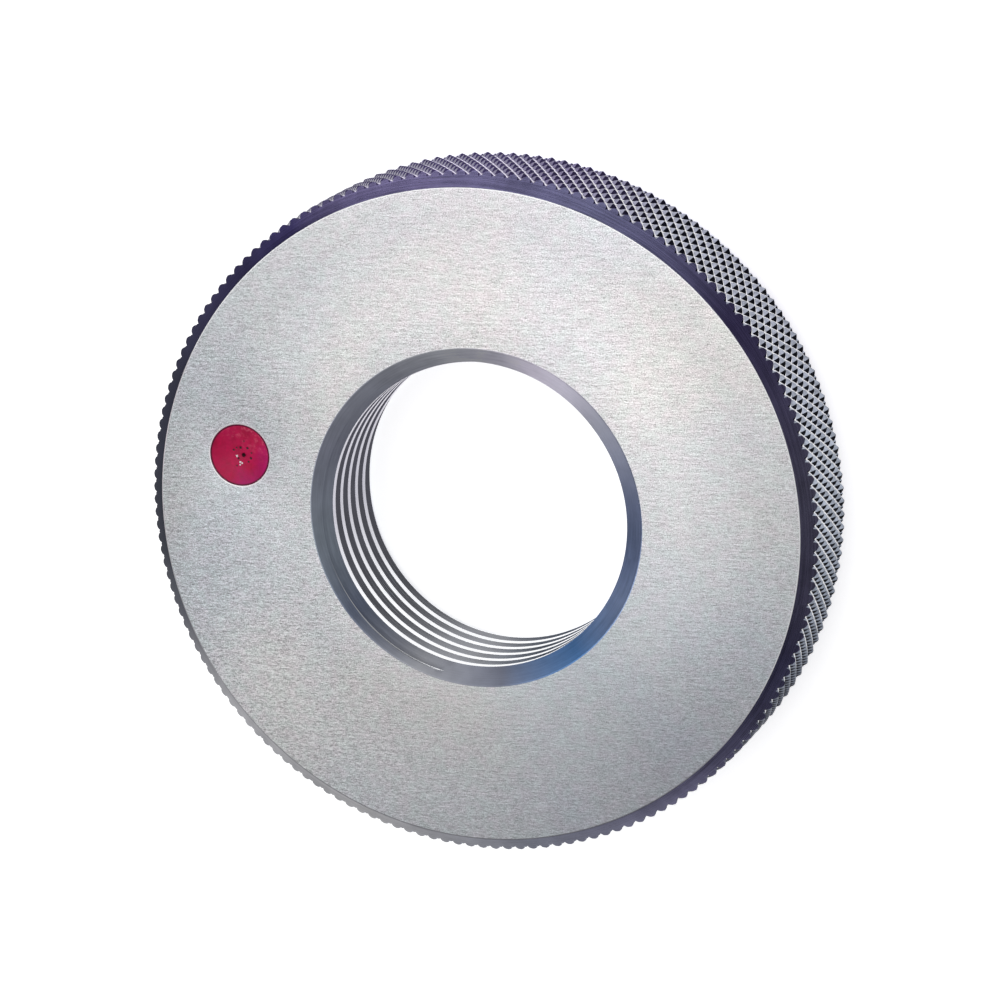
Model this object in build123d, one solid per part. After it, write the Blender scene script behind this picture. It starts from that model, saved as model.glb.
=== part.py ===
from build123d import *
from build123d.topology import SkipClean
from math import ceil, cos, pi, radians, sin, tan
import os

# Thread ring gauge: a turned and ground steel ring with a screw thread through it,
# a diamond knurl round its rim, and a drilled dimple in one face filled with red
# lacquer. The axis is +Z and the plain back face lies on Z = 0.

# Driving dimensions, in millimetres and degrees.
outer_diameter = 63.0
ring_width = 12.0
edge_chamfer = 1.4

knurl_teeth = 162
knurl_depth = 0.5
knurl_helix_angle = 31.0

thread_major_diameter = 30.0
thread_minor_diameter = 28.0
thread_pitch = 2.0
thread_flank_angle = 60.0
crest_width = 0.75
thread_start_angle = 140.0

front_countersink_diameter = 31.2
back_countersink_diameter = 30.4
countersink_angle = 120.0

mark_diameter = 5.8
mark_drill_angle = 118.0
mark_dish_depth = 0.6

# How the cuts are made: the bore's wall is in sectors, the thread's groove is swept
# a part of a turn at a time, and the groove's cutter stands a little into the bore.
bore_sectors = 8
sweeps_per_turn = 4
spare_turns = 2
cutter_overlap = 0.19

# Sizes that follow from them.
tip_radius = outer_diameter / 2
pit_radius = tip_radius - knurl_depth
face_radius = tip_radius - edge_chamfer
minor_radius = thread_minor_diameter / 2
major_radius = thread_major_diameter / 2
mark_radius = mark_diameter / 2
mark_place = (face_radius + front_countersink_diameter / 2) / 2

columns = 2 * knurl_teeth
column_angle = 2 * pi / columns
knurl_edge = pit_radius - face_radius
knurl_band = ring_width - 2 * knurl_edge
row_wanted = tip_radius * column_angle / tan(radians(knurl_helix_angle))
rows = 2 * max(1, round(knurl_band / (2 * row_wanted)))
row_height = knurl_band / rows


def ring_point(radius, column, height):
    """A point at a given radius and height, on one of the knurl's columns."""
    angle = column * column_angle
    return Vector(radius * cos(angle), radius * sin(angle), height)


def knurl_point(column, row):
    """A corner of the knurl: pits and tips alternate along columns and rows."""
    height = knurl_edge + row * row_height
    if (column + row) % 2:
        return ring_point(pit_radius, column, height)
    if 0 < row < rows:
        return ring_point(tip_radius, column, height)
    # The edge chamfer cuts the outermost tips off along their ridge.
    cut = knurl_depth / (1 + knurl_depth / row_height)
    inward = cut if row == 0 else -cut
    return ring_point(pit_radius + cut, column, height + inward)


def flat_face(*corners):
    """A flat face with the given corners."""
    return Face(Wire.make_polygon(corners, close=True))


def knurl_cell(column, row):
    """The two facets of a knurl cell, which meet in the groove from pit to pit."""
    near, far = knurl_point(column, row), knurl_point(column + 1, row + 1)
    right, left = knurl_point(column + 1, row), knurl_point(column, row + 1)
    if (column + row) % 2:
        return [flat_face(near, right, far), flat_face(near, far, left)]
    return [flat_face(near, right, left), flat_face(right, far, left)]


def chamfer_facet(column, row, height):
    """One flat of the edge chamfer, from an end face to the knurl."""
    return flat_face(
        ring_point(face_radius, column, height),
        ring_point(face_radius, column + 1, height),
        knurl_point(column + 1, row),
        knurl_point(column, row),
    )


def knurled_rim():
    """The rim's faces: the diamond knurl and the chamfer at each edge of it."""
    faces = []
    for column in range(columns):
        faces.append(chamfer_facet(column, 0, 0))
        faces.append(chamfer_facet(column, rows, ring_width))
        for row in range(rows):
            faces.extend(knurl_cell(column, row))
    return faces


def blank():
    """A plain disc as wide as the ground faces, with a flat for each chamfer facet."""
    corners = [ring_point(face_radius, column, 0) for column in range(columns)]
    return Solid.extrude(flat_face(*corners), Vector(0, 0, ring_width))


def bore_cutters():
    """The plain bore, in sectors."""
    angle = 360 / bore_sectors
    sector = Solid.make_cylinder(minor_radius, ring_width, angle=angle)
    return [sector.rotate(Axis.Z, angle * count) for count in range(bore_sectors)]


def countersink_cutter(diameter, height, direction):
    """A cone that opens the bore towards an end face."""
    apex_depth = diameter / 2 / tan(radians(countersink_angle / 2))
    plane = Plane(origin=(0, 0, height), z_dir=(0, 0, direction))
    return Solid.make_cone(diameter / 2, 0, apex_depth, plane=plane)


def thread_cutters():
    """The screw groove in parts of a turn, longer than the ring at both ends."""
    slope = tan(radians(thread_flank_angle / 2))
    groove_width = thread_pitch - crest_width
    root_half = groove_width / 2 - (major_radius - minor_radius) * slope
    mouth_half = groove_width / 2 + cutter_overlap * slope
    mouth_radius = minor_radius - cutter_overlap
    profile = flat_face(
        Vector(mouth_radius, 0, -mouth_half),
        Vector(major_radius, 0, -root_half),
        Vector(major_radius, 0, root_half),
        Vector(mouth_radius, 0, mouth_half),
    )
    rise = thread_pitch / sweeps_per_turn
    path = Wire([Edge.make_helix(thread_pitch, rise, minor_radius)])
    groove = Solid.sweep(profile, path, is_frenet=True)
    cutters = []
    for count in range(sweeps_per_turn * ceil(ring_width / thread_pitch + spare_turns)):
        angle = thread_start_angle + 360 / sweeps_per_turn * count
        turned = groove.rotate(Axis.Z, angle)
        cutters.append(turned.translate((0, 0, rise * count - thread_pitch)))
    return cutters


def mark_profile(top):
    """Half the section of the drilled dimple, up to a given top edge."""
    point = Vector(0, 0, -mark_radius / tan(radians(mark_drill_angle / 2)))
    rim = Vector(mark_radius, 0, 0)
    return Face(Wire([Edge.make_line(point, rim), *top(rim, point)]))


def turned_about_mark(profile):
    """The profile turned a full circle about the mark's own axis, in the front face."""
    solid = Solid.revolve(profile, 360, Axis.Z)
    return solid.translate((mark_place, 0, ring_width))


def flat_top(rim, point):
    """The dimple's section closed by the plane of the front face."""
    return [Edge.make_line(rim, Vector(0, 0, 0)), Edge.make_line(Vector(0, 0, 0), point)]


def dished_top(rim, point):
    """The lacquer's section closed by a surface that sank as it dried."""
    middle = Vector(0, 0, -mark_dish_depth)
    level = Vector(1, 0, 0)
    return [Edge.make_tangent_arc(middle, level, rim), Edge.make_line(middle, point)]


def threaded_core():
    """The disc with its bore, thread, countersinks and the dimple for the mark."""
    with SkipClean():
        core = blank().cut(*bore_cutters())
        core = core.cut(*thread_cutters())
        core = core.cut(
            countersink_cutter(front_countersink_diameter, ring_width, -1),
            countersink_cutter(back_countersink_diameter, 0, 1),
            turned_about_mark(mark_profile(flat_top)),
        )
    return core


def gauge_ring():
    """The ring: its threaded core inside the knurled rim."""
    faces = threaded_core().faces()
    end_faces = faces.filter_by(GeomType.PLANE).filter_by(Axis.Z)
    bore_and_dimple = faces.filter_by(GeomType.PLANE, reverse=True)
    return Solid(Shell(end_faces + bore_and_dimple + knurled_rim()))


os.makedirs("parts", exist_ok=True)
export_step(gauge_ring(), "parts/gauge_ring.step")
export_step(turned_about_mark(mark_profile(dished_top)), "parts/red_mark.step")
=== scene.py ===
"""Thread ring gauge: a knurled steel ring with a threaded bore and a red lacquer mark in its front face.

The ring and the mark are built as meshes in millimetres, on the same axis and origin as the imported
model, and are scaled to metres when they are linked. The ring is drawn unrolled, as turn, height and
radius, cut there with flat planes that stand for its cones, and then rolled up round its axis.
"""

import logging
import math
from dataclasses import dataclass, field
from enum import Enum

import bmesh
import bpy
from mathutils import Matrix, Vector
from mathutils.noise import noise


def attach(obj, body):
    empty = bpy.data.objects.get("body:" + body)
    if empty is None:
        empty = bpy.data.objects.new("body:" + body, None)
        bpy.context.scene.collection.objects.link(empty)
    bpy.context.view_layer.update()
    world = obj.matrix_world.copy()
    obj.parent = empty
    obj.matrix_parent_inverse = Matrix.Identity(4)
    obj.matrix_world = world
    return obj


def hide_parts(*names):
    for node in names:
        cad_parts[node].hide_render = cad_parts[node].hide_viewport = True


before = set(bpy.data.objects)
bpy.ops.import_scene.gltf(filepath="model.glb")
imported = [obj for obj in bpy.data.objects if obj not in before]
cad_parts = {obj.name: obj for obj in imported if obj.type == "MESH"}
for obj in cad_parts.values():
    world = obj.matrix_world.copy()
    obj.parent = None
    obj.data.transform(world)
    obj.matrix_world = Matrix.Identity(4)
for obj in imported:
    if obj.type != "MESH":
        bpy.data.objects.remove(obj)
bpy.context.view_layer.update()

log = logging.getLogger("ring_gauge")

MILLIMETRE = 0.001

# In millimetres: how near a vertex has to be to a cutting plane, to a seam or a flat face, and to a point.
CUT_TOLERANCE = 1e-6
SEAM_TOLERANCE = 1e-4
POINT_TOLERANCE = 1e-5

# Most values of a noise texture lie between these two.
NOISE_SPAN = (0.3, 0.7)

# Corners of the knurl's pattern are one vertex when they agree to a part of a cell this small.
CELL_PARTS = 1000

# The numbers of the mix node's slots for its share and its two colours, and of its mixed colour.
MIX_SLOTS = (0, 6, 7)
MIX_RESULT = 2

Socket = bpy.types.NodeSocket
Drawing = bmesh.types.BMesh
Rim = list[bmesh.types.BMEdge]
Span = tuple[float, float]
Colour = tuple[float, float, float]
Tints = tuple[tuple[float, Colour], ...]

# The steel's tint at turns round the axis, in degrees from the red mark. Except for the face's grain
# strength, the tints are painted light and shade over the steel's own colour, standing in for the reflections
# that change round the ring. The first tint closes the circle.
# Painted light and shade on the ground face, one table near the bore and one near the rim.
INNER_FACE_PAINTED_LIGHT: Tints = (
    (-180.0, (0.83, 0.83, 0.83)),
    (-130.0, (0.99, 0.97, 0.96)),
    (-85.0, (0.90, 0.88, 0.885)),
    (-40.0, (0.82, 0.82, 0.825)),
    (5.0, (0.72, 0.72, 0.725)),
    (28.0, (0.765, 0.765, 0.765)),
    (50.0, (0.74, 0.74, 0.745)),
    (95.0, (0.69, 0.69, 0.70)),
    (140.0, (0.63, 0.655, 0.67)),
)
OUTER_FACE_PAINTED_LIGHT: Tints = (
    (-180.0, (0.71, 0.725, 0.745)),
    (-130.0, (0.74, 0.73, 0.725)),
    (-85.0, (0.69, 0.67, 0.68)),
    (-40.0, (0.62, 0.635, 0.66)),
    (5.0, (0.645, 0.67, 0.70)),
    (50.0, (0.99, 0.99, 0.99)),
    (95.0, (0.78, 0.81, 0.85)),
    (140.0, (0.585, 0.60, 0.645)),
    (156.0, (0.59, 0.61, 0.65)),
)
FACE_GRAIN: Tints = (
    (-180.0, (0.80, 0.80, 0.80)),
    (-120.0, (1.0, 1.0, 1.0)),
    (-30.0, (1.0, 1.0, 1.0)),
    (50.0, (1.15, 1.15, 1.15)),
    (90.0, (0.80, 0.80, 0.80)),
    (125.0, (0.65, 0.65, 0.65)),
)
# Painted reflection and shade on the dark chamfer: pale sectors where it stands for a bright reflection, near
# black where it stands for shade.
CHAMFER_PAINTED_LIGHT: Tints = (
    (-180.0, (0.13, 0.12, 0.19)),
    (-160.0, (0.19, 0.178, 0.256)),
    (-130.0, (0.13, 0.105, 0.24)),
    (-100.0, (0.50, 0.49, 0.80)),
    (-70.0, (0.54, 0.47, 0.84)),
    (-45.0, (0.060, 0.050, 0.15)),
    (-35.0, (0.030, 0.025, 0.070)),
    (-10.0, (0.020, 0.020, 0.035)),
    (20.0, (0.008, 0.009, 0.014)),
    (33.0, (0.06, 0.06, 0.07)),
    (50.0, (0.30, 0.295, 0.30)),
    (80.0, (0.29, 0.285, 0.285)),
    (110.0, (0.135, 0.14, 0.17)),
    (140.0, (0.125, 0.12, 0.19)),
    (170.0, (0.075, 0.07, 0.135)),
)
# Painted reflection and shade on the countersinks round the bore.
COUNTERSINK_PAINTED_LIGHT: Tints = (
    (-180.0, (0.30, 0.38, 0.60)),
    (-160.0, (0.20, 0.235, 0.36)),
    (-130.0, (0.39, 0.40, 0.47)),
    (-100.0, (0.88, 0.82, 0.94)),
    (-70.0, (0.97, 0.98, 1.0)),
    (-40.0, (0.55, 0.566, 0.63)),
    (-10.0, (0.36, 0.375, 0.455)),
    (20.0, (0.32, 0.365, 0.425)),
    (50.0, (0.12, 0.14, 0.195)),
    (80.0, (0.22, 0.225, 0.245)),
    (110.0, (0.13, 0.14, 0.18)),
    (140.0, (0.10, 0.23, 0.48)),
    (165.0, (0.42, 0.54, 0.82)),
)
# Painted highlight: the bright lines in the knurl's valleys and on the facets of one half of each cell.
KNURL_HIGHLIGHT_TINTS: Tints = (
    (-180.0, (0.98, 0.98, 0.99)),
    (-100.0, (0.98, 0.97, 1.0)),
    (-70.0, (0.88, 0.82, 1.0)),
    (-20.0, (0.30, 0.28, 0.36)),
    (20.0, (0.62, 0.61, 0.66)),
    (130.0, (0.70, 0.70, 0.76)),
)
# Painted lit copy of the knurl's flanks, for the facets of cells that lean one way.
KNURL_LIT_FLANK_TINTS: Tints = (
    (-180.0, (0.22, 0.245, 0.295)),
    (-160.0, (0.31, 0.34, 0.40)),
    (-110.0, (0.30, 0.31, 0.38)),
    (-92.0, (0.10, 0.075, 0.18)),
    (-75.0, (0.050, 0.036, 0.12)),
    (-30.0, (0.045, 0.037, 0.085)),
    (0.0, (0.14, 0.14, 0.18)),
    (30.0, (0.27, 0.28, 0.33)),
    (105.0, (0.27, 0.28, 0.33)),
    (130.0, (0.06, 0.06, 0.09)),
    (160.0, (0.10, 0.11, 0.14)),
)
# Painted shade: the dark copy of the knurl's flanks, for the facets of cells that lean the other way.
KNURL_SHADOW_TINTS: Tints = (
    (-180.0, (0.004, 0.005, 0.010)),
    (-110.0, (0.005, 0.005, 0.012)),
    (-92.0, (0.060, 0.045, 0.125)),
    (-75.0, (0.11, 0.085, 0.22)),
    (-30.0, (0.060, 0.050, 0.11)),
    (20.0, (0.045, 0.045, 0.06)),
    (100.0, (0.04, 0.04, 0.055)),
    (130.0, (0.012, 0.012, 0.022)),
)
# Painted reflection and shade on the thread's flanks round the bore.
THREAD_FLANK_PAINTED_LIGHT: Tints = (
    (-180.0, (0.40, 0.41, 0.46)),
    (-30.0, (0.30, 0.29, 0.35)),
    (15.0, (0.20, 0.20, 0.235)),
    (53.0, (0.175, 0.18, 0.20)),
    (98.0, (0.20, 0.205, 0.22)),
    (135.0, (0.18, 0.22, 0.28)),
)
# Painted highlight and shade on the small rounds at the edges of the faces and of the dimple: bright where
# they stand for a glint, darker elsewhere.
LIP_PAINTED_LIGHT: Tints = (
    (-180.0, (0.97, 0.97, 0.97)),
    (-20.0, (0.97, 0.97, 0.97)),
    (-8.0, (0.84, 0.79, 0.81)),
    (8.0, (0.84, 0.79, 0.81)),
    (25.0, (0.45, 0.45, 0.46)),
    (60.0, (0.30, 0.30, 0.31)),
    (140.0, (0.25, 0.25, 0.28)),
    (165.0, (0.80, 0.80, 0.81)),
)
# Painted highlight and shade on the thread's crests round the bore.
THREAD_CREST_PAINTED_LIGHT: Tints = (
    (-180.0, (0.92, 0.92, 0.94)),
    (-30.0, (0.60, 0.58, 0.66)),
    (15.0, (0.48, 0.47, 0.53)),
    (50.0, (0.86, 0.87, 0.89)),
    (98.0, (0.86, 0.87, 0.89)),
)


class Finish(Enum):
    """The finishes of the ring, in the order of its material slots."""

    GROUND_FACE = 0
    TURNED_CHAMFER = 1
    COUNTERSINK = 2
    # The knurl's three finishes are painted light: a highlight, and a lit and a shaded copy of its flanks.
    KNURL_PAINTED_HIGHLIGHT = 3
    KNURL_PAINTED_LIT = 4
    KNURL_PAINTED_SHADE = 5
    THREAD_FLANK = 6
    THREAD_CREST = 7
    LIP = 8


class Edge(Enum):
    """The two ends of the ring."""

    BACK = 0
    FRONT = 1


def rounded_corner(start: Vector, corner: Vector, end: Vector, steps: int) -> list[Vector]:
    """Gives the points of a small round that replaces a corner.

    Args:
        start: The point where the round leaves the first side.
        corner: The sharp corner itself.
        end: The point where the round meets the second side.
        steps: How many straight runs the round has.

    Returns:
        The points from start to end, both of them included.
    """
    points = []
    for step in range(steps + 1):
        part = step / steps
        points.append(start * (1 - part) ** 2 + corner * 2 * part * (1 - part) + end * part ** 2)
    return points


def rolled(point: Vector) -> Vector:
    """Turns a point given as turn in degrees, height and radius into a point in space."""
    turn = math.radians(point.x)
    return Vector((point.z * math.cos(turn), point.z * math.sin(turn), point.y))


def placed(name: str, data: bpy.types.ID) -> bpy.types.Object:
    """Makes an object and links it to the scene.

    Args:
        name: The name of the object.
        data: The mesh, lamp or camera that it shows.

    Returns:
        The new object.
    """
    thing = bpy.data.objects.new(name, data)
    bpy.context.scene.collection.objects.link(thing)
    return thing


def shown_mesh(name: str, drawing: Drawing, materials: list[bpy.types.Material],
               sharp: float) -> bpy.types.Object:
    """Makes an object in metres from a drawing in millimetres.

    Args:
        name: The name of the object and its mesh.
        drawing: The finished drawing, which is freed here.
        materials: The materials in the order of the faces' material numbers.
        sharp: The angle in degrees above which an edge stays sharp.

    Returns:
        The new object, linked to the scene.
    """
    bmesh.ops.recalc_face_normals(drawing, faces=drawing.faces[:])
    mesh = bpy.data.meshes.new(name)
    drawing.to_mesh(mesh)
    drawing.free()
    mesh.transform(Matrix.Scale(MILLIMETRE, 4))
    for material in materials:
        mesh.materials.append(material)
    mesh.set_sharp_from_angle(angle=math.radians(sharp))
    return placed(name, mesh)


def fill_ramp(ramp: bpy.types.ColorRamp, stops: list[tuple[float, Colour]]) -> None:
    """Gives a colour ramp its stops.

    Args:
        ramp: The ramp, as Blender makes it.
        stops: The position and colour of each stop, from low to high.
    """
    while len(ramp.elements) < len(stops):
        ramp.elements.new(0.5)
    for element, (position, colour) in zip(ramp.elements, stops):
        element.position = position
        element.color = (*colour, 1.0)


class NodeBench:
    """A material being wired, with short calls for the nodes that the finishes use."""

    def __init__(self, name: str) -> None:
        """Starts a material that has its surface shader and its object coordinates.

        Args:
            name: The name of the material.
        """
        self.material = bpy.data.materials.new(name)
        self.material.use_nodes = True
        self.tree = self.material.node_tree
        self.shader = self.tree.nodes["Principled BSDF"]
        self.place = self.node("TexCoord").outputs["Object"]

    def node(self, kind: str) -> bpy.types.Node:
        """Adds a shader node of a kind."""
        return self.tree.nodes.new("ShaderNode" + kind)

    def link(self, source: Socket, target: Socket) -> None:
        """Joins two sockets."""
        self.tree.links.new(source, target)

    def fill(self, slot: Socket, value: object) -> None:
        """Links a slot or sets it.

        Args:
            slot: The slot of a node.
            value: A socket, a value of the slot's own kind, or None to leave the slot alone.
        """
        if isinstance(value, Socket):
            self.link(value, slot)
        elif value is not None:
            slot.default_value = value

    def drive(self, name: str, source: Socket) -> None:
        """Links a socket to one of the shader's own."""
        self.link(source, self.shader.inputs[name])

    def set_shader(self, **values: float | tuple) -> None:
        """Sets numbers on the shader's own sockets, named with underscores for spaces."""
        for name, value in values.items():
            self.shader.inputs[name.replace("_", " ")].default_value = value

    def stretched(self, turn: float, scale: tuple[float, float, float]) -> Socket:
        """Gives the object coordinates seen from axes turned in plan, and multiplied on each of them.

        Args:
            turn: The direction of the new X axis in degrees from the old one.
            scale: The factor along each of the new axes.

        Returns:
            A vector socket.
        """
        turned = self.node("VectorRotate")
        turned.rotation_type = "Z_AXIS"
        turned.inputs["Angle"].default_value = -math.radians(turn)
        self.link(self.place, turned.inputs["Vector"])
        mapping = self.node("Mapping")
        mapping.inputs["Scale"].default_value = scale
        self.link(turned.outputs["Vector"], mapping.inputs["Vector"])
        return mapping.outputs["Vector"]

    def turn_and_height(self) -> tuple[Socket, Socket]:
        """Gives the place round the ring's axis and along it.

        Returns:
            The sockets of the turn in radians and of the height in metres.
        """
        parts = self.node("SeparateXYZ")
        self.link(self.place, parts.inputs["Vector"])
        return self.maths("ARCTAN2", parts.outputs["Y"], parts.outputs["X"]), parts.outputs["Z"]

    def around(self, stops: Tints) -> Socket:
        """Gives a colour that changes slowly round the ring's axis.

        Args:
            stops: The turn in degrees, rising from -180, and the colour there.

        Returns:
            The socket of the colour.
        """
        turn, _ = self.turn_and_height()
        share = self.level(turn, -math.pi, math.pi, 0.0, 1.0)
        places = [(degrees / 360 + 0.5, colour) for degrees, colour in stops]
        return self.ramp(share, places + [(1.0, stops[0][1])])

    def grey(self, value: Socket) -> Socket:
        """Gives the grey of a value.

        Args:
            value: The socket of the value.

        Returns:
            The socket of the grey.
        """
        node = self.node("CombineColor")
        for channel in ("Red", "Green", "Blue"):
            self.link(value, node.inputs[channel])
        return node.outputs["Color"]

    def polar(self, round_scale: float, out_scale: float, up_scale: float) -> Socket:
        """Gives coordinates that run round the axis, outward and upward.

        Args:
            round_scale: Multiplies the turn, which is measured in radians.
            out_scale: Multiplies the distance from the axis in metres.
            up_scale: Multiplies the height in metres.

        Returns:
            A vector socket of the three scaled measures.
        """
        turn, height = self.turn_and_height()
        joined = self.node("CombineXYZ")
        self.link(self.maths("MULTIPLY", turn, round_scale), joined.inputs["X"])
        self.link(self.maths("MULTIPLY", self.distance(), out_scale), joined.inputs["Y"])
        self.link(self.maths("MULTIPLY", height, up_scale), joined.inputs["Z"])
        return joined.outputs["Vector"]

    def distance(self) -> Socket:
        """Gives the distance from the ring's axis in metres."""
        return self.vector("LENGTH", self.vector("MULTIPLY", self.place, (1.0, 1.0, 0.0)))

    def maths(self, operation: str, first: object, second: object = None) -> Socket:
        """Adds one sum.

        Args:
            operation: The name of Blender's operation.
            first: A socket or a number.
            second: A socket or a number, or None where the operation needs one value.

        Returns:
            The socket of the result.
        """
        node = self.node("Math")
        node.operation = operation
        for slot, value in zip(node.inputs, (first, second)):
            self.fill(slot, value)
        return node.outputs["Value"]

    def vector(self, operation: str, first: object, second: object = None) -> Socket:
        """Adds one sum of vectors.

        Args:
            operation: The name of Blender's operation.
            first: A socket or three numbers.
            second: A socket or three numbers, or None where the operation needs one vector.

        Returns:
            The socket of the result, which is a number for a length or a dot product.
        """
        node = self.node("VectorMath")
        node.operation = operation
        for slot, value in zip(node.inputs, (first, second)):
            self.fill(slot, value)
        number = operation in ("LENGTH", "DOT_PRODUCT")
        return node.outputs["Value" if number else "Vector"]

    def grain(self, place: Socket, scale: float = 1.0, detail: float = 2.0, rough: float = 0.5) -> Socket:
        """Adds a noise texture.

        Args:
            place: The coordinates it is laid on.
            scale: How fine it is.
            detail: How many finer layers it has.
            rough: How strong the finer layers are.

        Returns:
            The socket of its value from 0 to 1.
        """
        texture = self.node("TexNoise")
        texture.inputs["Scale"].default_value = scale
        texture.inputs["Detail"].default_value = detail
        texture.inputs["Roughness"].default_value = rough
        self.link(place, texture.inputs["Vector"])
        return texture.outputs["Fac"]

    def ramp(self, value: Socket, stops: list[tuple[float, Colour]]) -> Socket:
        """Adds a colour ramp.

        Args:
            value: The socket that drives it.
            stops: The position and colour of each stop, from low to high.

        Returns:
            The socket of its colour.
        """
        node = self.node("ValToRGB")
        fill_ramp(node.color_ramp, stops)
        self.link(value, node.inputs["Fac"])
        return node.outputs["Color"]

    def level(self, value: Socket, low: float, high: float, out_low: float,
              out_high: float) -> Socket:
        """Stretches a value from one range to another, held at both ends.

        Args:
            value: The socket that is stretched.
            low: The value that becomes out_low.
            high: The value that becomes out_high.
            out_low: The result at the low end.
            out_high: The result at the high end.

        Returns:
            The socket of the result.
        """
        node = self.node("MapRange")
        self.link(value, node.inputs["Value"])
        names = ("From Min", "From Max", "To Min", "To Max")
        for name, number in zip(names, (low, high, out_low, out_high)):
            node.inputs[name].default_value = number
        return node.outputs["Result"]

    def blend(self, share: object, first: object, second: object, way: str = "MIX") -> Socket:
        """Mixes two colours.

        Args:
            share: A socket or a number, 0 for the first colour.
            first: A socket or a colour.
            second: A socket or a colour.
            way: The name of Blender's blend type.

        Returns:
            The socket of the mixed colour.
        """
        node = self.node("Mix")
        node.data_type = "RGBA"
        node.blend_type = way
        for slot, value in zip(MIX_SLOTS, (share, first, second)):
            self.fill(node.inputs[slot], (*value, 1.0) if isinstance(value, tuple) else value)
        return node.outputs[MIX_RESULT]

    def times(self, first: object, second: object) -> Socket:
        """Multiplies two colours."""
        return self.blend(1.0, first, second, "MULTIPLY")

    def relief(self, height: Socket, distance: float, strength: float) -> None:
        """Adds a bump in front of the ones that are already there.

        Args:
            height: The socket of the relief's height from 0 to 1.
            distance: How deep the relief is, in metres.
            strength: How much of the bump is used.
        """
        node = self.node("Bump")
        node.inputs["Strength"].default_value = strength
        node.inputs["Distance"].default_value = distance
        self.link(height, node.inputs["Height"])
        normal = self.shader.inputs["Normal"]
        if normal.is_linked:
            self.link(normal.links[0].from_socket, node.inputs["Normal"])
        self.link(node.outputs["Normal"], normal)


@dataclass(frozen=True)
class GroundSteel:
    """Pale ground steel: short scratches all one way, a fine sparkle, soft warm and cool patches, and a tint
    that changes round the ring and outward, which is painted light and shade.
    """

    name: str = "ground_steel"
    warm: Colour = (0.94, 0.93, 0.915)
    cool: Colour = (0.90, 0.92, 0.95)
    green: Colour = (0.965, 1.0, 0.985)
    rose: Colour = (1.0, 0.965, 0.985)
    inner_painted_light: Tints = INNER_FACE_PAINTED_LIGHT
    outer_painted_light: Tints = OUTER_FACE_PAINTED_LIGHT
    grain_strength: Tints = FACE_GRAIN
    inner_reach: float = 0.019
    outer_reach: float = 0.027
    roughness: Span = (0.31, 0.43)
    patch_scale: float = 60.0
    blotch_scale: float = 900.0
    speckle_scale: float = 9000.0
    grinding_direction: float = 12.8
    scratch_stretch: tuple[float, float, float] = (2600.0, 8200.0, 2600.0)
    streak_stretch: tuple[float, float, float] = (500.0, 4200.0, 500.0)
    mean_shade: float = 0.88
    speckle_shades: Span = (-0.29, 0.27)
    scratch_shades: Span = (-0.21, 0.21)
    streak_shades: Span = (-0.09, 0.09)
    scratch_depth: float = 0.00001
    streak_depth: float = 0.00002

    def material(self) -> bpy.types.Material:
        """Wires the finish.

        Returns:
            Its material.
        """
        bench = NodeBench(self.name)
        patches = bench.grain(bench.place, self.patch_scale)
        colour = bench.ramp(patches, [(0.36, self.cool), (0.64, self.warm)])
        blotches = bench.grain(bench.place, self.blotch_scale)
        colour = bench.times(colour, bench.ramp(blotches, [(0.35, self.green), (0.65, self.rose)]))
        # Painted light and shade: the tint changes round the ring and from the bore out to the rim.
        outward = bench.level(bench.distance(), self.inner_reach, self.outer_reach, 0.0, 1.0)
        tint = bench.blend(outward, bench.around(self.inner_painted_light), bench.around(self.outer_painted_light))
        colour = bench.times(colour, tint)
        speckle = bench.grain(bench.place, self.speckle_scale, detail=1.0)
        scratch = bench.grain(bench.stretched(self.grinding_direction, self.scratch_stretch), detail=1.0)
        streak = bench.grain(bench.stretched(self.grinding_direction, self.streak_stretch), rough=0.6)
        grain = bench.maths("ADD", bench.level(speckle, *NOISE_SPAN, *self.speckle_shades),
                            bench.level(scratch, *NOISE_SPAN, *self.scratch_shades))
        grain = bench.maths("ADD", grain, bench.level(streak, 0.35, 0.65, *self.streak_shades))
        grain = bench.maths("MULTIPLY", grain, bench.around(self.grain_strength))
        shade = bench.maths("ADD", grain, self.mean_shade)
        bench.drive("Base Color", bench.times(colour, bench.grey(shade)))
        bench.drive("Roughness", bench.level(scratch, *NOISE_SPAN, *self.roughness))
        bench.set_shader(Metallic=1.0)
        bench.relief(streak, self.streak_depth, strength=0.4)
        bench.relief(scratch, self.scratch_depth, strength=0.5)
        return bench.material


@dataclass(frozen=True)
class MachinedSteel:
    """Machined steel: fine lines round the axis, soft stains, and a tint that changes with the turn, which is
    painted light and shade standing in for the reflections round the ring.
    """

    name: str
    tints: Tints
    roughness: float
    stain: float = 0.25
    round_scale: float = 5.0
    line_scale: float = 7000.0
    stain_scale: float = 260.0
    stain_share: float = 0.6
    roughness_swing: Span = (-0.04, 0.06)
    relief_depth: float = 0.000006
    metallic: float = 1.0
    specular: float = 0.5
    edge_tint: Colour = (1.0, 1.0, 1.0)

    def material(self) -> bpy.types.Material:
        """Wires the finish.

        Returns:
            Its material.
        """
        bench = NodeBench(self.name)
        stains = bench.grain(bench.place, self.stain_scale, detail=3.0, rough=0.6)
        lines = bench.grain(bench.polar(self.round_scale, self.line_scale, self.line_scale))
        both = bench.maths("ADD", bench.maths("MULTIPLY", stains, self.stain_share),
                           bench.maths("MULTIPLY", lines, 1.0 - self.stain_share))
        shade = bench.level(both, 0.36, 0.64, 1.0 - self.stain, 1.0 + self.stain)
        # Painted light and shade: the tint changes round the ring.
        tint = bench.around(self.tints)
        bench.drive("Base Color", bench.times(tint, bench.grey(shade)))
        swing = [self.roughness + part for part in self.roughness_swing]
        bench.drive("Roughness", bench.level(lines, *NOISE_SPAN, *swing))
        bench.set_shader(Metallic=self.metallic, Specular_IOR_Level=self.specular,
                         Specular_Tint=(*self.edge_tint, 1.0))
        bench.relief(lines, self.relief_depth, strength=0.3)
        return bench.material


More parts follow.
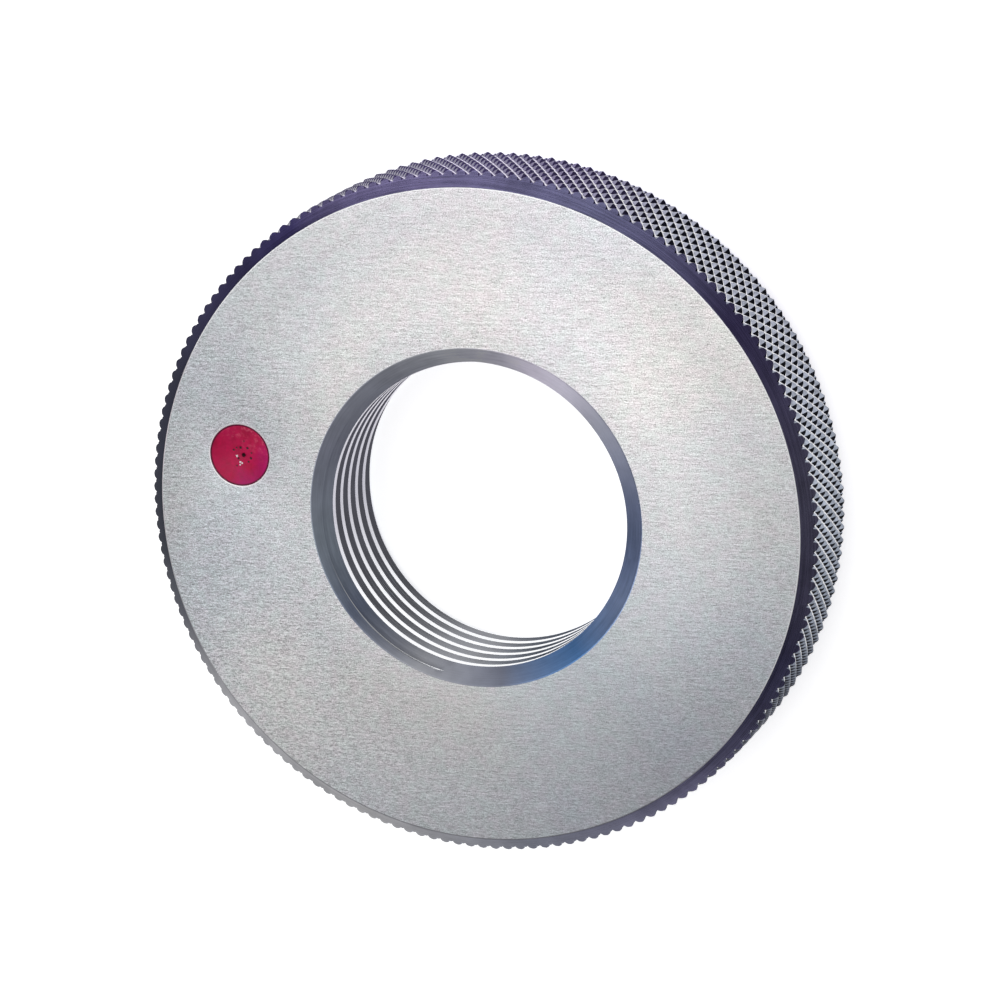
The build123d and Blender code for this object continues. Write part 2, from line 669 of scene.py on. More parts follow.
@dataclass(frozen=True)
class RedLacquer:
    """Thick crimson lacquer: slow changes of depth, soft streaks, a painted violet reflection towards one
    side, a painted pink sheen in flecks towards another, and a painted shade as a dark line where it meets
    the steel.
    """

    name: str = "red_lacquer"
    deep: Colour = (0.46, 0.001, 0.050)
    bright: Colour = (0.62, 0.006, 0.095)
    # The violet, the rim colour and the bloom are painted light: a violet reflection, shade along the edge
    # and a pink sheen.
    painted_violet: Colour = (0.44, 0.006, 0.155)
    rim: Colour = (0.13, 0.001, 0.030)
    painted_sheen: Colour = (0.80, 0.13, 0.22)
    middle: tuple[float, float, float] = (0.02285, 0.0, 0.012)
    edge_shade_reach: Span = (0.00268345, 0.00276094)
    violet_way: tuple[float, float, float] = (-0.84, 0.53, 0.0)
    violet_reach: Span = (0.0008, 0.0026)
    violet_drift: float = 0.0008
    violet_share: float = 0.75
    painted_sheen_way: tuple[float, float, float] = (-0.295, -0.955, 0.0)
    painted_sheen_reach: Span = (0.0002, 0.0020)
    streak_shades: Span = (0.86, 1.14)
    streak_depth: float = 0.00006
    roughness: Span = (0.34, 0.52)
    cloud_scale: float = 420.0
    streak_scale: float = 1500.0
    fleck_scale: float = 2600.0
    fleck_span: Span = (0.50, 0.72)
    fleck_shares: Span = (0.05, 0.75)

    def material(self) -> bpy.types.Material:
        """Wires the finish.

        Returns:
            Its material.
        """
        bench = NodeBench(self.name)
        cloud = bench.grain(bench.place, self.cloud_scale, detail=3.0)
        streak = bench.grain(bench.place, self.streak_scale, detail=3.0, rough=0.6)
        colour = bench.ramp(cloud, list(zip(NOISE_SPAN, (self.deep, self.bright))))
        across = bench.vector("SUBTRACT", bench.place, self.middle)
        # Painted violet reflection: the colour turns violet towards one side of the mark.
        along = bench.vector("DOT_PRODUCT", across, self.violet_way)
        clouds = bench.level(cloud, *NOISE_SPAN, -self.violet_drift, self.violet_drift)
        drift = bench.maths("ADD", along, clouds)
        share = bench.level(drift, *self.violet_reach, 0.0, self.violet_share)
        colour = bench.blend(share, colour, self.painted_violet)
        shade = bench.grey(bench.level(streak, *NOISE_SPAN, *self.streak_shades))
        colour = bench.times(colour, shade)
        # Painted sheen: pink flecks towards another side of the mark.
        sheen_share = bench.level(bench.vector("DOT_PRODUCT", across, self.painted_sheen_way), *self.painted_sheen_reach, 0.0, 1.0)
        fleck = bench.grain(bench.place, self.fleck_scale, detail=3.0, rough=0.7)
        flecks = bench.level(fleck, *self.fleck_span, *self.fleck_shares)
        colour = bench.blend(bench.maths("MULTIPLY", sheen_share, flecks), colour, self.painted_sheen)
        # Painted shade: the colour darkens to the rim colour at the pool's edge, where it meets the steel.
        edge = bench.level(bench.vector("LENGTH", across), *self.edge_shade_reach, 0.0, 1.0)
        bench.drive("Base Color", bench.blend(edge, colour, self.rim))
        bench.drive("Roughness", bench.level(streak, *NOISE_SPAN, *self.roughness))
        bench.set_shader(Coat_Weight=0.05, Coat_Roughness=0.2, Specular_IOR_Level=0.16)
        bench.relief(streak, self.streak_depth, strength=0.5)
        return bench.material


@dataclass(frozen=True)
class PlainLacquer:
    """One shade of lacquer with a little mottling, for a pinhole's floor, dark with painted shade, or a
    bubble's skin, pale with a painted glint.
    """

    name: str
    dark: Colour
    light: Colour
    roughness: float
    mottle_scale: float = 6000.0
    mottle_depth: float = 0.00001

    def material(self) -> bpy.types.Material:
        """Wires the finish.

        Returns:
            Its material.
        """
        bench = NodeBench(self.name)
        mottle = bench.grain(bench.place, self.mottle_scale, detail=1.0)
        bench.drive("Base Color", bench.ramp(mottle, [(0.35, self.dark), (0.65, self.light)]))
        bench.set_shader(Roughness=self.roughness)
        bench.relief(mottle, self.mottle_depth, strength=0.2)
        return bench.material


def open_edges(drawing: Drawing, place: Vector, normal: Vector) -> Rim:
    """Gives the open edges of a drawing that lie in a plane.

    Args:
        drawing: The drawing.
        place: A point of the plane.
        normal: A vector at right angles to the plane.

    Returns:
        The edges.
    """
    return [edge for edge in drawing.edges if edge.is_boundary
            and all(abs((end.co - place).dot(normal)) < SEAM_TOLERANCE for end in edge.verts)]


@dataclass(frozen=True)
class Knurl:
    """The diamond knurl that is rolled into the rim, and the chamfers that cut it at both ends."""

    teeth: int = 162
    rows: int = 10
    row_height: float = 1.02
    first_row: float = 1.56
    root_radius: float = 31.05
    tip_radius: float = 31.5
    crown: float = 1.7
    climbs: tuple[float, ...] = (0.0, 0.16, 0.38, 0.62, 0.86, 1.0)
    wear: float = 0.03
    wear_scale: float = 40.0
    wear_rise: float = 0.05

    @property
    def columns(self) -> int:
        """Half a tooth is one column of the pattern."""
        return 2 * self.teeth

    def ridge(self, column: float, row: float) -> float:
        """Gives how far up a tooth a point is.

        Args:
            column: Its place round the rim, in columns.
            row: Its place up the rim, in rows.

        Returns:
            0 in a valley and 1 at a tip.
        """
        climbs = []
        for way in ((column + row) / 2, (column - row) / 2):
            climbs.append(abs(2 * (way - math.floor(way)) - 1))
        return min(climbs)

    def radius(self, column: float, row: float) -> float:
        """Gives the radius of a point of the pattern.

        Args:
            column: Its place round the rim, in columns.
            row: Its place up the rim, in rows.

        Returns:
            The radius in millimetres, steep out of the valley, rounded at the tip and a little worn.
        """
        climb = self.ridge(column, row)
        depth = self.tip_radius - self.root_radius
        turn = math.radians(column * 360 / self.columns)
        where = Vector((math.cos(turn), math.sin(turn), row * self.wear_rise)) * self.wear_scale
        worn = self.wear * climb * (0.5 + 0.5 * noise(where))
        return self.root_radius + depth * (1 - (1 - climb) ** self.crown) - worn

    def cell_facets(self, leaning: bool, whole: bool) -> list[tuple[Finish, list[tuple[float, float]]]]:
        """Gives the facets in one cell of the pattern, in strips from the valley up to each tip. The valley
        strips and one half of the cell carry a painted highlight, and the rest of the other half carries a
        painted lit or a painted shaded copy of the flank, by the way the cell leans.

        Args:
            leaning: True where the cell's tips are at its lower left and upper right.
            whole: False in the rows that a chamfer cuts, where the valleys get no painted highlight.

        Returns:
            The finish of each strip, and its corners from 0 to 1 across and up the cell.
        """
        # Painted light by the way a cell leans: this half gets the lit copy or the shaded copy, and the
        # valley strips and the other half get the painted highlight.
        upward = Finish.KNURL_PAINTED_LIT if leaning else Finish.KNURL_PAINTED_SHADE
        bright = Finish.KNURL_PAINTED_HIGHLIGHT if whole else upward
        reach = [1 - climb for climb in self.climbs]
        facets = []
        for outer, inner in zip(reach, reach[1:]):
            strip = [(inner, 0), (outer, 0), (0, outer), (0, inner)]
            if inner == 0:
                strip.pop()
            lower = [(x if leaning else 1 - x, y) for x, y in strip]
            upper = [(1 - x if leaning else x, 1 - y) for x, y in strip]
            facets.append((bright if outer == 1 else upward, lower))
            facets.append((bright, upper))
        return facets

    def drawing(self) -> Drawing:
        """Draws the knurl unrolled.

        Returns:
            The drawing, as turn in degrees, height and radius.
        """
        sheet = bmesh.new()
        known = {}
        for column in range(self.columns):
            for row in range(-1, self.rows + 1):
                whole = 0 <= row < self.rows - 1
                for finish, outline in self.cell_facets((column + row) % 2 == 0, whole):
                    corners = [self.corner(sheet, known, column + x, row + y) for x, y in outline]
                    sheet.faces.new(corners).material_index = finish.value
        return sheet

    def corner(self, sheet: Drawing, known: dict, column: float, row: float) -> bmesh.types.BMVert:
        """Gives the drawing's vertex at a place of the pattern.

        Args:
            sheet: The unrolled drawing.
            known: The vertices that were made so far, to which a new one is added.
            column: Its place round the rim, in columns.
            row: Its place up the rim, in rows.

        Returns:
            The vertex.
        """
        key = (round(column * CELL_PARTS), round(row * CELL_PARTS))
        if key not in known:
            turn = column * 360 / self.columns
            height = self.first_row + row * self.row_height
            known[key] = sheet.verts.new((turn, height, self.radius(column % self.columns, row)))
        return known[key]


@dataclass(frozen=True)
class Thread:
    """The thread in the bore, drawn along its own helix."""

    minor_radius: float = 14.0
    depth: float = 1.0
    pitch: float = 2.0
    start_angle: float = 140.0
    half_gap: float = 0.625
    crest_limit: float = 0.03
    glint_line_limit: float = 1.8
    root_shade_limit: float = 1.95
    columns: int = 288
    first_turn: int = -2
    last_turn: int = 7
    run_in: float = 10.48

    @property
    def profile(self) -> list[tuple[float, float]]:
        """The section of one groove, with softened corners.

        Returns:
            Distances from the groove's middle, over one pitch, and the depth at each of them.
        """
        # The flanks stand at 60 degrees to each other. The points run from the root to the crest.
        slope = math.sqrt(3)
        half = [
            (0.04, self.depth - 0.012),
            (0.10, (self.half_gap - 0.10) * slope),
            (0.35, (self.half_gap - 0.35) * slope),
            (self.half_gap - 0.03, 0.03 * slope),
            (self.half_gap - 0.008, 0.018),
            (self.half_gap + 0.016, 0.003),
            (self.half_gap + 0.04, 0.0),
            (self.pitch / 2, 0.0),
        ]
        left = [(-x, depth) for x, depth in reversed(half[:-1])]
        return left + [(0.0, self.depth)] + half

    def drawing(self) -> Drawing:
        """Draws the bore unrolled, past both ends of the ring.

        Returns:
            The drawing, as turn in degrees, height and radius.
        """
        sheet = bmesh.new()
        rows = []
        for turn in range(self.first_turn, self.last_turn + 1):
            rows += [(x + turn * self.pitch, depth, turn * self.pitch) for x, depth in self.profile]
        lines = []
        for column in range(self.columns + 1):
            angle = column * 360 / self.columns
            lift = (angle - self.start_angle) / 360 * self.pitch
            places = [(angle, height + lift, self.minor_radius + depth) for height, depth, _ in rows]
            lines.append((lift, [sheet.verts.new(place) for place in places]))
        for (lift, here), (_, there) in zip(lines, lines[1:]):
            for low, (_, depth, groove) in enumerate(rows[:-1]):
                side = rows[low][0] + rows[low + 1][0] - 2 * groove
                face = sheet.faces.new((here[low], there[low], there[low + 1], here[low + 1]))
                face.material_index = self.finish(depth + rows[low + 1][1], side, groove + lift).value
        return sheet

    def finish(self, double_depth: float, side: float, groove_height: float) -> Finish:
        """Gives a strip's finish, which where a groove opens into a countersink is mostly the countersink's,
        with painted shade along the groove's root and a painted highlight line on its lower flank next to the
        root.

        Args:
            double_depth: The sum of the depths at the strip's two edges.
            side: Below zero on the lower half of the groove and above zero on the upper half.
            groove_height: The height of the middle of the strip's groove.

        Returns:
            The finish of the strip.
        """
        if double_depth < self.crest_limit:
            return Finish.THREAD_CREST
        if groove_height < self.run_in:
            return Finish.THREAD_FLANK
        # Painted shade in the root of a groove that runs out into a countersink.
        if double_depth > self.root_shade_limit:
            return Finish.KNURL_PAINTED_SHADE
        # A painted highlight line on the lower flank next to that root; the rest takes the countersink's
        # finish.
        return Finish.THREAD_CREST if double_depth > self.glint_line_limit and side < 0 else Finish.COUNTERSINK


@dataclass
class GaugeRing:
    """The steel ring: its knurled rim, its chamfers, its threaded bore and the dimple for the mark."""

    width: float = 12.0
    face_outer_radius: float = 30.1
    front_countersink_radius: float = 15.6
    back_countersink_radius: float = 15.2
    countersink_slope: float = 1.79
    edge_round: float = 0.07
    round_steps: int = 4
    dimple_place: float = 22.85
    dimple_radius: float = 2.9
    dimple_depth: float = 1.7425
    dimple_segments: int = 96
    lip_round: float = 0.09
    chamfer_points: int = 1
    sharp_angle: float = 20.0
    knurl: Knurl = field(default_factory=Knurl)
    thread: Thread = field(default_factory=Thread)

    def face_height(self, edge: Edge) -> float:
        """The height of the ring's face at one end."""
        return self.width if edge is Edge.FRONT else 0.0

    def inward(self, edge: Edge) -> float:
        """Minus one at the front and one at the back: the way into the ring along its axis."""
        return -1.0 if edge is Edge.FRONT else 1.0

    def countersink_radius(self, edge: Edge) -> float:
        """The radius of the countersink at one face."""
        return self.front_countersink_radius if edge is Edge.FRONT else self.back_countersink_radius

    def cut(self, sheet: Drawing, radius: float, slope: float, edge: Edge,
            keep_inside: bool) -> Rim:
        """Cuts an unrolled sheet along a cone and gives the edges of the cut.

        Args:
            sheet: The unrolled drawing.
            radius: The cone's radius at the ring's face.
            slope: How fast the cone's radius changes towards the ring's middle, in millimetres a millimetre.
            edge: The end of the ring that the cone belongs to.
            keep_inside: True to keep what lies nearer to the axis than the cone.

        Returns:
            The open edges that lie on the cone.
        """
        normal = Vector((0.0, -slope * self.inward(edge), 1.0))
        place = Vector((0.0, self.face_height(edge), radius))
        parts = sheet.verts[:] + sheet.edges[:] + sheet.faces[:]
        bmesh.ops.bisect_plane(sheet, geom=parts, dist=CUT_TOLERANCE, plane_co=place, plane_no=normal,
                               clear_outer=keep_inside, clear_inner=not keep_inside)
        return open_edges(sheet, place, normal)

    def run_out(self, sheet: Drawing, rim: Rim, points: list[Vector],
                first_points: int, first: Finish, rest: Finish) -> None:
        """Carries a cut edge on to the face through a list of heights and radii.

        Args:
            sheet: The unrolled drawing.
            rim: The edges that are carried on.
            points: Vectors of 0, height and radius, in order.
            first_points: How many points after the first one are reached in the first finish.
            first: The finish of the cone and the start of its round.
            rest: The finish of the rest of the round.
        """
        for count, point in enumerate(points):
            finish = first if count <= first_points else rest
            grown = bmesh.ops.extrude_edge_only(sheet, edges=rim)["geom"]
            for part in grown:
                if isinstance(part, bmesh.types.BMVert):
                    part.co = (part.co.x, point.y, point.z)
                elif isinstance(part, bmesh.types.BMFace):
                    part.material_index = finish.value
            rim = [part for part in grown if isinstance(part, bmesh.types.BMEdge) and part.is_boundary
                   and sum(abs(end.co.y - point.y) for end in part.verts) < POINT_TOLERANCE
                   and sum(abs(end.co.z - point.z) for end in part.verts) < POINT_TOLERANCE]

    def corner_points(self, edge: Edge, radius: float, slope: float, way: float) -> list[Vector]:
        """Gives the round between a cone and the face.

        Args:
            edge: The end of the ring.
            radius: The radius where the sharp corner would be.
            slope: How fast the cone's radius changes towards the ring's middle.
            way: Minus one where the face lies nearer to the axis than the cone, one where it lies farther.

        Returns:
            Vectors of 0, height and radius, from the cone to the face.
        """
        corner = Vector((0.0, self.face_height(edge), radius))
        along_cone = Vector((0.0, self.inward(edge), slope)).normalized()
        along_face = Vector((0.0, 0.0, way))
        return rounded_corner(corner + along_cone * self.edge_round, corner,
                              corner + along_face * self.edge_round, self.round_steps)

    def rim_sheet(self) -> Drawing:
        """Draws the rim and both chamfers.

        Returns:
            The unrolled drawing.
        """
        sheet = self.knurl.drawing()
        for edge in Edge:
            cut = self.cut(sheet, self.face_outer_radius, 1.0, edge, True)
            points = self.corner_points(edge, self.face_outer_radius, 1.0, -1.0)
            self.run_out(sheet, cut, points, self.chamfer_points, Finish.TURNED_CHAMFER, Finish.LIP)
        return sheet

    def bore_sheet(self) -> Drawing:
        """Draws the bore and both countersinks.

        Returns:
            The unrolled drawing.
        """
        sheet = self.thread.drawing()
        for edge in Edge:
            radius = self.countersink_radius(edge)
            cut = self.cut(sheet, radius, -self.countersink_slope, edge, False)
            points = self.corner_points(edge, radius, -self.countersink_slope, 1.0)
            self.run_out(sheet, cut, points, self.round_steps, Finish.COUNTERSINK, Finish.GROUND_FACE)
        return sheet

    def dimple(self, solid: Drawing) -> None:
        """Adds the drilled cone for the mark, with its softened edge.

        Args:
            solid: The rolled-up drawing.
        """
        corner = Vector((0.0, self.width, self.dimple_radius))
        down = Vector((0.0, -self.dimple_depth, -self.dimple_radius)).normalized()
        points = rounded_corner(corner + Vector((0.0, 0.0, self.lip_round)), corner,
                                corner + down * self.lip_round, self.round_steps)
        rings = []
        for point in points:
            ring = []
            for step in range(self.dimple_segments):
                turn = math.tau * step / self.dimple_segments
                across = Vector((math.cos(turn), math.sin(turn), 0.0)) * point.z
                ring.append(solid.verts.new(across + Vector((self.dimple_place, 0.0, point.y))))
            rings.append(ring)
        for upper, lower in zip(rings, rings[1:]):
            for step in range(self.dimple_segments):
                after = (step + 1) % self.dimple_segments
                lip = solid.faces.new((upper[step], upper[after], lower[after], lower[step]))
                lip.material_index = Finish.LIP.value
        foot = solid.verts.new((self.dimple_place, 0.0, self.width - self.dimple_depth))
        for step in range(self.dimple_segments):
            after = (step + 1) % self.dimple_segments
            cone = solid.faces.new((rings[-1][step], rings[-1][after], foot))
            cone.material_index = Finish.TURNED_CHAMFER.value

    def close_face(self, solid: Drawing, edge: Edge) -> None:
        """Fills the flat face at one end, between all the open edges that lie in it.

        Args:
            solid: The rolled-up drawing.
            edge: The end of the ring.
        """
        normal = Vector((0.0, 0.0, -self.inward(edge)))
        rim = open_edges(solid, Vector((0.0, 0.0, self.face_height(edge))), normal)
        filled = bmesh.ops.triangle_fill(solid, use_beauty=True, use_dissolve=False, edges=rim, normal=normal)
        for part in filled["geom"]:
            if isinstance(part, bmesh.types.BMFace):
                part.material_index = Finish.GROUND_FACE.value
                part.smooth = False

    def solid_drawing(self) -> Drawing:
        """Rolls both sheets up, welds their seams, and adds the dimple and the faces.

        Returns:
            The closed drawing of the ring.
        """
        solid = bmesh.new()
        for sheet in (self.rim_sheet(), self.bore_sheet()):
            for vertex in sheet.verts:
                vertex.co = rolled(vertex.co)
            flat = bpy.data.meshes.new("sheet")
            sheet.to_mesh(flat)
            sheet.free()
            solid.from_mesh(flat)
            bpy.data.meshes.remove(flat)
        bmesh.ops.remove_doubles(solid, verts=solid.verts[:], dist=SEAM_TOLERANCE)
        bmesh.ops.dissolve_degenerate(solid, dist=POINT_TOLERANCE, edges=solid.edges[:])
        self.dimple(solid)
        for face in solid.faces:
            face.smooth = True
        for edge in Edge:
            self.close_face(solid, edge)
        return solid

    def build(self) -> bpy.types.Object:
        """Builds the ring and dresses it, in the place of its node in the frame.

        Returns:
            The ring.
        """
        finishes = (
            GroundSteel(),
            # The chamfer's tint is painted reflection and shade round the ring.
            MachinedSteel("turned_chamfer", CHAMFER_PAINTED_LIGHT, roughness=0.26, edge_tint=(0.64, 0.65, 0.68)),
            # The countersink's tint is painted reflection and shade round the ring.
            MachinedSteel("countersink", COUNTERSINK_PAINTED_LIGHT, roughness=0.32, stain=0.15),
            # Painted light on the knurl: its highlight, its lit flanks and its shaded flanks.
            MachinedSteel("knurl_painted_highlight", KNURL_HIGHLIGHT_TINTS, roughness=0.34, stain=0.05, metallic=0.6),
            MachinedSteel("knurl_painted_lit_flank", KNURL_LIT_FLANK_TINTS, roughness=0.3, stain=0.35, stain_scale=900.0),
            MachinedSteel("knurl_shadow", KNURL_SHADOW_TINTS, roughness=0.6, stain=0.3, metallic=0.0,
                          specular=0.02),
            # The thread's flank and crest tints are painted reflection and shade round the bore.
            MachinedSteel("thread_flank", THREAD_FLANK_PAINTED_LIGHT, roughness=0.24, stain=0.12),
            MachinedSteel("thread_crest", THREAD_CREST_PAINTED_LIGHT, roughness=0.2, stain=0.06),
            # Painted highlight and shade on the edge rounds.
            MachinedSteel("lip_painted_light", LIP_PAINTED_LIGHT, roughness=0.4, stain=0.1, metallic=0.5),
        )
        materials = [finish.material() for finish in finishes]
        piece = shown_mesh("steel_ring", self.solid_drawing(), materials, self.sharp_angle)
        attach(piece, "root")
        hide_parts("gauge_ring")
        return piece


@dataclass(frozen=True)
class Blemish:
    """A pinhole or a bubble in the lacquer, placed from the mark's middle as the mark is seen upright."""

    right: float
    down: float
    radius: float
    height: float

    def offset(self, upright: float) -> Vector:
        """Gives its place from the mark's middle.

        Args:
            upright: The direction in degrees, in plan, that reads as right when the mark is seen upright.

        Returns:
            The place in millimetres in plan.
        """
        turn = math.radians(upright)
        right = Vector((math.cos(turn), math.sin(turn)))
        down = Vector((math.sin(turn), -math.cos(turn)))
        return right * self.right + down * self.down


@dataclass
class LacquerMark:
    """The lacquer that fills the dimple: a dished pool with a crimped edge, a pit, pinholes and bubbles."""

    place: float = 22.85
    top: float = 12.0
    radius: float = 2.87
    lip_drop: float = 0.01
    dish_depth: float = 0.45
    crimp: float = 0.01
    crimp_power: int = 40
    ripple: float = 0.012
    ripple_scale: float = 0.8
    ripple_layer: float = 4.0
    blemish_falloff: float = 1.4
    cone_depth: float = 1.66
    segments: int = 180
    rings: int = 60
    upright: float = -167.2
    sharp_angle: float = 60.0
    blemishes: tuple[Blemish, ...] = (
        Blemish(0.21, 0.08, 0.19, -0.30),
        Blemish(-0.04, -0.61, 0.13, -0.10),
        Blemish(0.63, -0.58, 0.12, -0.08),
        Blemish(-0.72, -0.39, 0.10, -0.06),
        Blemish(-0.42, -0.59, 0.08, -0.05),
        Blemish(0.92, 0.35, 0.12, -0.08),
        Blemish(1.00, -0.15, 0.08, -0.05),
        Blemish(0.68, 0.69, 0.09, -0.05),
        Blemish(-0.30, 0.40, 0.10, -0.08),
        Blemish(0.35, -1.23, 0.07, -0.04),
        Blemish(-0.45, 1.07, 0.07, -0.04),
        Blemish(-0.43, 0.19, 0.10, 0.06),
        Blemish(-0.13, 0.75, 0.11, 0.07),
        Blemish(0.05, 0.85, 0.08, 0.05),
        Blemish(-0.16, 0.99, 0.07, 0.04),
    )

    def height(self, flat: Vector) -> float:
        """Gives the height of the lacquer's top.

        Args:
            flat: The place, measured from the middle of the mark.

        Returns:
            The height in millimetres.
        """
        across = flat.length / self.radius
        bowl = -self.dish_depth * (1 - across ** 2)
        where = Vector((flat.x * self.ripple_scale, flat.y * self.ripple_scale, self.ripple_layer))
        ripple = self.ripple * noise(where) * (1 - across ** 4)
        crimped = -self.crimp * across ** self.crimp_power
        height = self.top - self.lip_drop + bowl + ripple + crimped
        for blemish in self.blemishes:
            share = (flat - blemish.offset(self.upright)).length / blemish.radius
            height += blemish.height * math.exp(-(share * self.blemish_falloff) ** 2)
        return height

    def finish_at(self, flat: Vector) -> int:
        """Gives the material number at a place.

        Args:
            flat: The place, measured from the middle of the mark.

        Returns:
            0 for the lacquer, 1 in a pinhole, which is dark with painted shade, and 2 on a bubble, which is
            pale with a painted glint.
        """
        for blemish in self.blemishes:
            if (flat - blemish.offset(self.upright)).length < blemish.radius:
                return 1 if blemish.height < 0 else 2
        return 0

    def drawing(self) -> Drawing:
        """Draws the mark in its place.

        Returns:
            The closed drawing.
        """
        pool = bmesh.new()
        centre = Vector((self.place, 0.0))
        rings = []
        for ring in range(1, self.rings + 1):
            points = []
            for step in range(self.segments):
                turn = math.tau * step / self.segments
                flat = Vector((math.cos(turn), math.sin(turn))) * self.radius * ring / self.rings
                points.append(pool.verts.new((*(centre + flat), self.height(flat))))
            rings.append(points)
        middle = pool.verts.new((*centre, self.height(Vector((0.0, 0.0)))))
        foot = pool.verts.new((*centre, self.top - self.cone_depth))
        for step in range(self.segments):
            after = (step + 1) % self.segments
            pool.faces.new((middle, rings[0][step], rings[0][after]))
            for inner, outer in zip(rings, rings[1:]):
                face = pool.faces.new((inner[step], outer[step], outer[after], inner[after]))
                face.material_index = self.finish_at(face.calc_center_median().xy - centre)
            pool.faces.new((rings[-1][step], foot, rings[-1][after]))
        for face in pool.faces:
            face.smooth = True
        return pool

    def build(self) -> bpy.types.Object:
        """Builds the mark and dresses it, in the place of its node in the frame.

        Returns:
            The mark.
        """
        finishes = (
            RedLacquer(),
            # Painted shade in the pinholes and a painted glint on the bubbles.
            PlainLacquer("lacquer_pinhole_shade", (0.03, 0.002, 0.008), (0.07, 0.003, 0.014), roughness=0.6),
            PlainLacquer("lacquer_bubble_glint", (0.90, 0.78, 0.82), (1.0, 0.97, 0.98), roughness=0.2),
        )
        materials = [finish.material() for finish in finishes]
        piece = shown_mesh("lacquer_mark", self.drawing(), materials, self.sharp_angle)
        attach(piece, "root")
        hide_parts("red_mark")
        return piece


@dataclass(frozen=True)
class StudioCamera:
    """The camera, placed by its distance, its direction and the pixel of the front face's middle."""

    distance: float = 0.4261
    azimuth: float = -129.7
    tilt: float = 23.434
    roll: float = -37.537
    lens: float = 171.13
    sensor: float = 36.0
    clip: Span = (0.01, 20.0)
    frame_side: float = 1000.0
    face_middle_pixel: tuple[float, float] = (474.48, 518.87)
    face_middle: tuple[float, float, float] = (0.0, 0.0, 0.012)

    def build(self) -> bpy.types.Object:
        """Makes the camera and sets it as the scene's own.

        Returns:
            The camera.
        """
        data = bpy.data.cameras.new("studio_camera")
        data.lens = self.lens
        data.sensor_width = self.sensor
        data.clip_start, data.clip_end = self.clip
        camera = placed("studio_camera", data)
        camera.matrix_world = Matrix.Translation(self.stand()) @ self.turn().to_4x4()
        bpy.context.scene.camera = camera
        return camera

    def towards_camera(self) -> Vector:
        """Gives the way from the front face's middle to the camera.

        Returns:
            A vector of length one.
        """
        azimuth, tilt = math.radians(self.azimuth), math.radians(self.tilt)
        flat = math.sin(tilt)
        return Vector((flat * math.cos(azimuth), flat * math.sin(azimuth), math.cos(tilt)))

    def stand(self) -> Vector:
        """The camera's place in metres."""
        return Vector(self.face_middle) + self.towards_camera() * self.distance

    def turn(self) -> Matrix:
        """Turns the camera so that the sight line of the chosen pixel meets the face's middle.

        Returns:
            The camera's rotation.
        """
        focal = self.lens / self.sensor * self.frame_side
        across, down = ((pixel - self.frame_side / 2) / focal for pixel in self.face_middle_pixel)
        sight = Vector((across, down, 1.0)).normalized()
        ahead = -self.towards_camera()
        azimuth, roll = math.radians(self.azimuth), math.radians(self.roll)
        near = Vector((math.cos(azimuth), math.sin(azimuth), 0.0))
        near = (near - ahead * ahead.dot(near)).normalized()
        rolled_side = Vector((math.cos(roll), math.sin(roll), 0.0))
        rolled_side = (rolled_side - sight * sight.dot(rolled_side)).normalized()
        world = Matrix((near, ahead.cross(near), ahead)).transposed()
        picture = Matrix((rolled_side, sight.cross(rolled_side), sight))
        return world @ picture @ Matrix.Diagonal((1.0, -1.0, -1.0))


@dataclass(frozen=True)
class Softbox:
    """A square soft lamp that faces the ring from a direction."""

    name: str
    azimuth: float
    elevation: float
    distance: float
    side: float
    level: float

    def build(self) -> bpy.types.Object:
        """Makes the lamp, whose level is the brightness of its surface.

        Returns:
            The lamp.
        """
        azimuth, elevation = math.radians(self.azimuth), math.radians(self.elevation)
        flat = math.cos(elevation)
        way = Vector((flat * math.cos(azimuth), flat * math.sin(azimuth), math.sin(elevation)))
        data = bpy.data.lights.new(self.name, "AREA")
        data.shape = "SQUARE"
        data.size = self.side
        data.energy = self.level * math.pi * self.side ** 2
        lamp = placed(self.name, data)
        lamp.location = way * self.distance
        lamp.rotation_euler = (-way).to_track_quat("-Z", "Y").to_euler()
        lamp.visible_camera = False
        return lamp


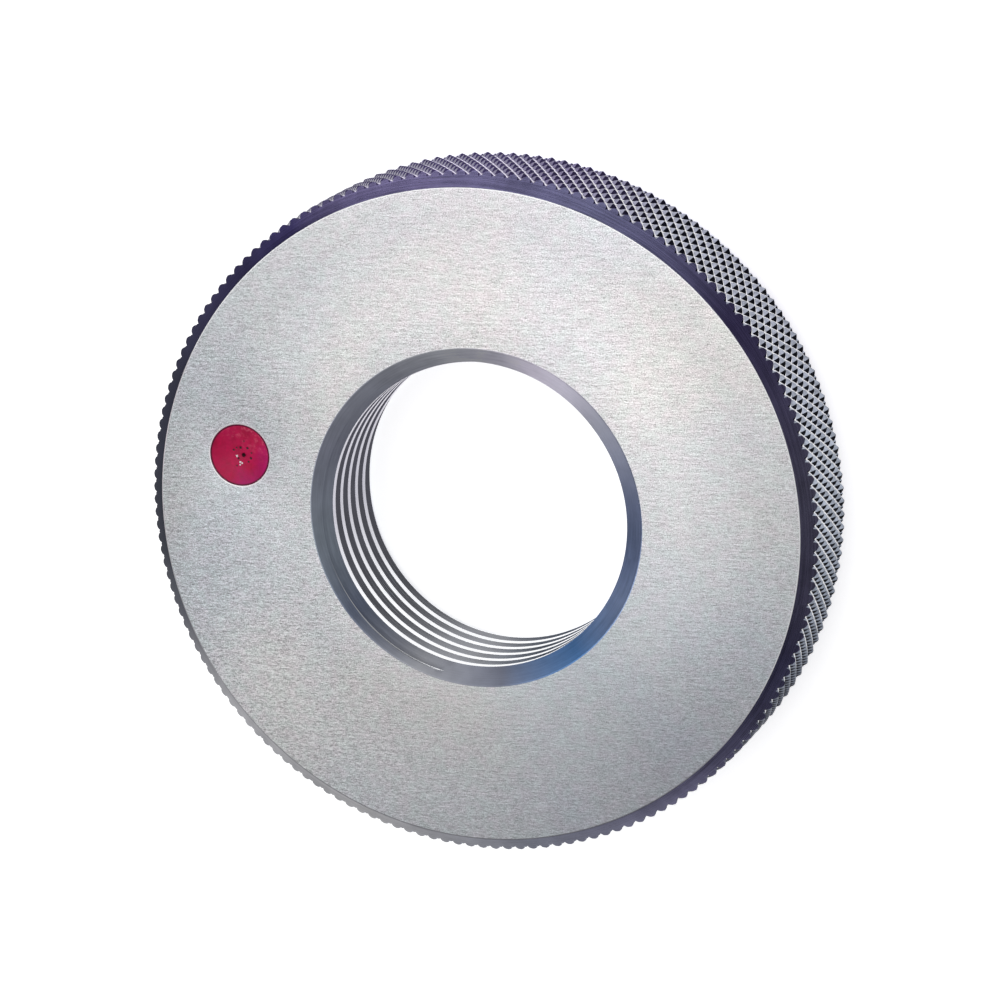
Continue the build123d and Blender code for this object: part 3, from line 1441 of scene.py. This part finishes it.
@dataclass(frozen=True)
class Studio:
    """The pale floor, the dim surroundings and the soft lamps."""

    floor_side: float = 1.2
    floor_drop: float = 0.00005
    floor_colour: Colour = (0.84, 0.84, 0.84)
    floor_fleck: Colour = (0.86, 0.86, 0.86)
    floor_grain: float = 900.0
    floor_lift: float = 0.72
    low_sky: Colour = (0.20, 0.20, 0.23)
    middle_sky: Colour = (0.17, 0.175, 0.20)
    high_sky: Colour = (0.5, 0.5, 0.5)
    softboxes: tuple[Softbox, ...] = (
        Softbox("overhead_softbox", -39.7, 68.5, 0.355, 0.34, 1.5),
        Softbox("wall_panel", 50.0, 9.0, 0.6, 0.4, 0.7),
    )

    def floor(self) -> bpy.types.Object:
        """Lays the floor, which reads as white and keeps the ring's soft shadow.

        Returns:
            The floor.
        """
        half = self.floor_side / 2
        corners = [(-half, -half, 0.0), (half, -half, 0.0), (half, half, 0.0), (-half, half, 0.0)]
        mesh = bpy.data.meshes.new("floor")
        mesh.from_pydata(corners, [], [(0, 1, 2, 3)])
        bench = NodeBench("pale_floor")
        grain = bench.grain(bench.place, self.floor_grain)
        shades = list(zip(NOISE_SPAN, (self.floor_colour, self.floor_fleck)))
        bench.drive("Base Color", bench.ramp(grain, shades))
        bench.set_shader(Roughness=0.9, Specular_IOR_Level=0.1)
        self.lift_for_camera(bench)
        mesh.materials.append(bench.material)
        plane = placed("floor", mesh)
        plane.location.z = -self.floor_drop
        return plane

    def lift_for_camera(self, bench: NodeBench) -> None:
        """Adds a white lift to the floor where the camera, gloss or glass sees it.

        Args:
            bench: The floor's material.
        """
        rays = bench.node("LightPath")
        seen = bench.maths("MAXIMUM", rays.outputs["Is Camera Ray"], rays.outputs["Is Glossy Ray"])
        seen = bench.maths("MAXIMUM", seen, rays.outputs["Is Transmission Ray"])
        glow = bench.node("Emission")
        bench.link(bench.maths("MULTIPLY", seen, self.floor_lift), glow.inputs["Strength"])
        both = bench.node("AddShader")
        output = bench.tree.nodes["Material Output"]
        bench.link(bench.shader.outputs["BSDF"], both.inputs[0])
        bench.link(glow.outputs["Emission"], both.inputs[1])
        bench.link(both.outputs["Shader"], output.inputs["Surface"])

    def surroundings(self) -> bpy.types.World:
        """Makes the dim room, which is paler overhead.

        Returns:
            The scene's world.
        """
        world = bpy.data.worlds.new("studio_room")
        world.use_nodes = True
        tree = world.node_tree
        direction = tree.nodes.new("ShaderNodeTexCoord").outputs["Generated"]
        parts = tree.nodes.new("ShaderNodeSeparateXYZ")
        tree.links.new(direction, parts.inputs["Vector"])
        shades = tree.nodes.new("ShaderNodeValToRGB")
        fill_ramp(shades.color_ramp, [(0.0, self.low_sky), (0.45, self.middle_sky), (1.0, self.high_sky)])
        tree.links.new(parts.outputs["Z"], shades.inputs["Fac"])
        tree.links.new(shades.outputs["Color"], tree.nodes["Background"].inputs["Color"])
        bpy.context.scene.world = world
        return world

    def build(self) -> None:
        """Builds the floor, the surroundings and the lamps."""
        self.floor()
        self.surroundings()
        for softbox in self.softboxes:
            softbox.build()


def main() -> None:
    """Builds the camera, the studio and the pieces in order."""
    logging.basicConfig(level=logging.INFO, format="%(name)s: %(message)s")
    StudioCamera().build()
    Studio().build()
    for maker in (GaugeRing(), LacquerMark()):
        piece = maker.build()
        log.info("%s has %d faces", piece.name, len(piece.data.polygons))
    bpy.context.scene.view_settings.view_transform = "Standard"


if __name__ == "__main__":
    main()
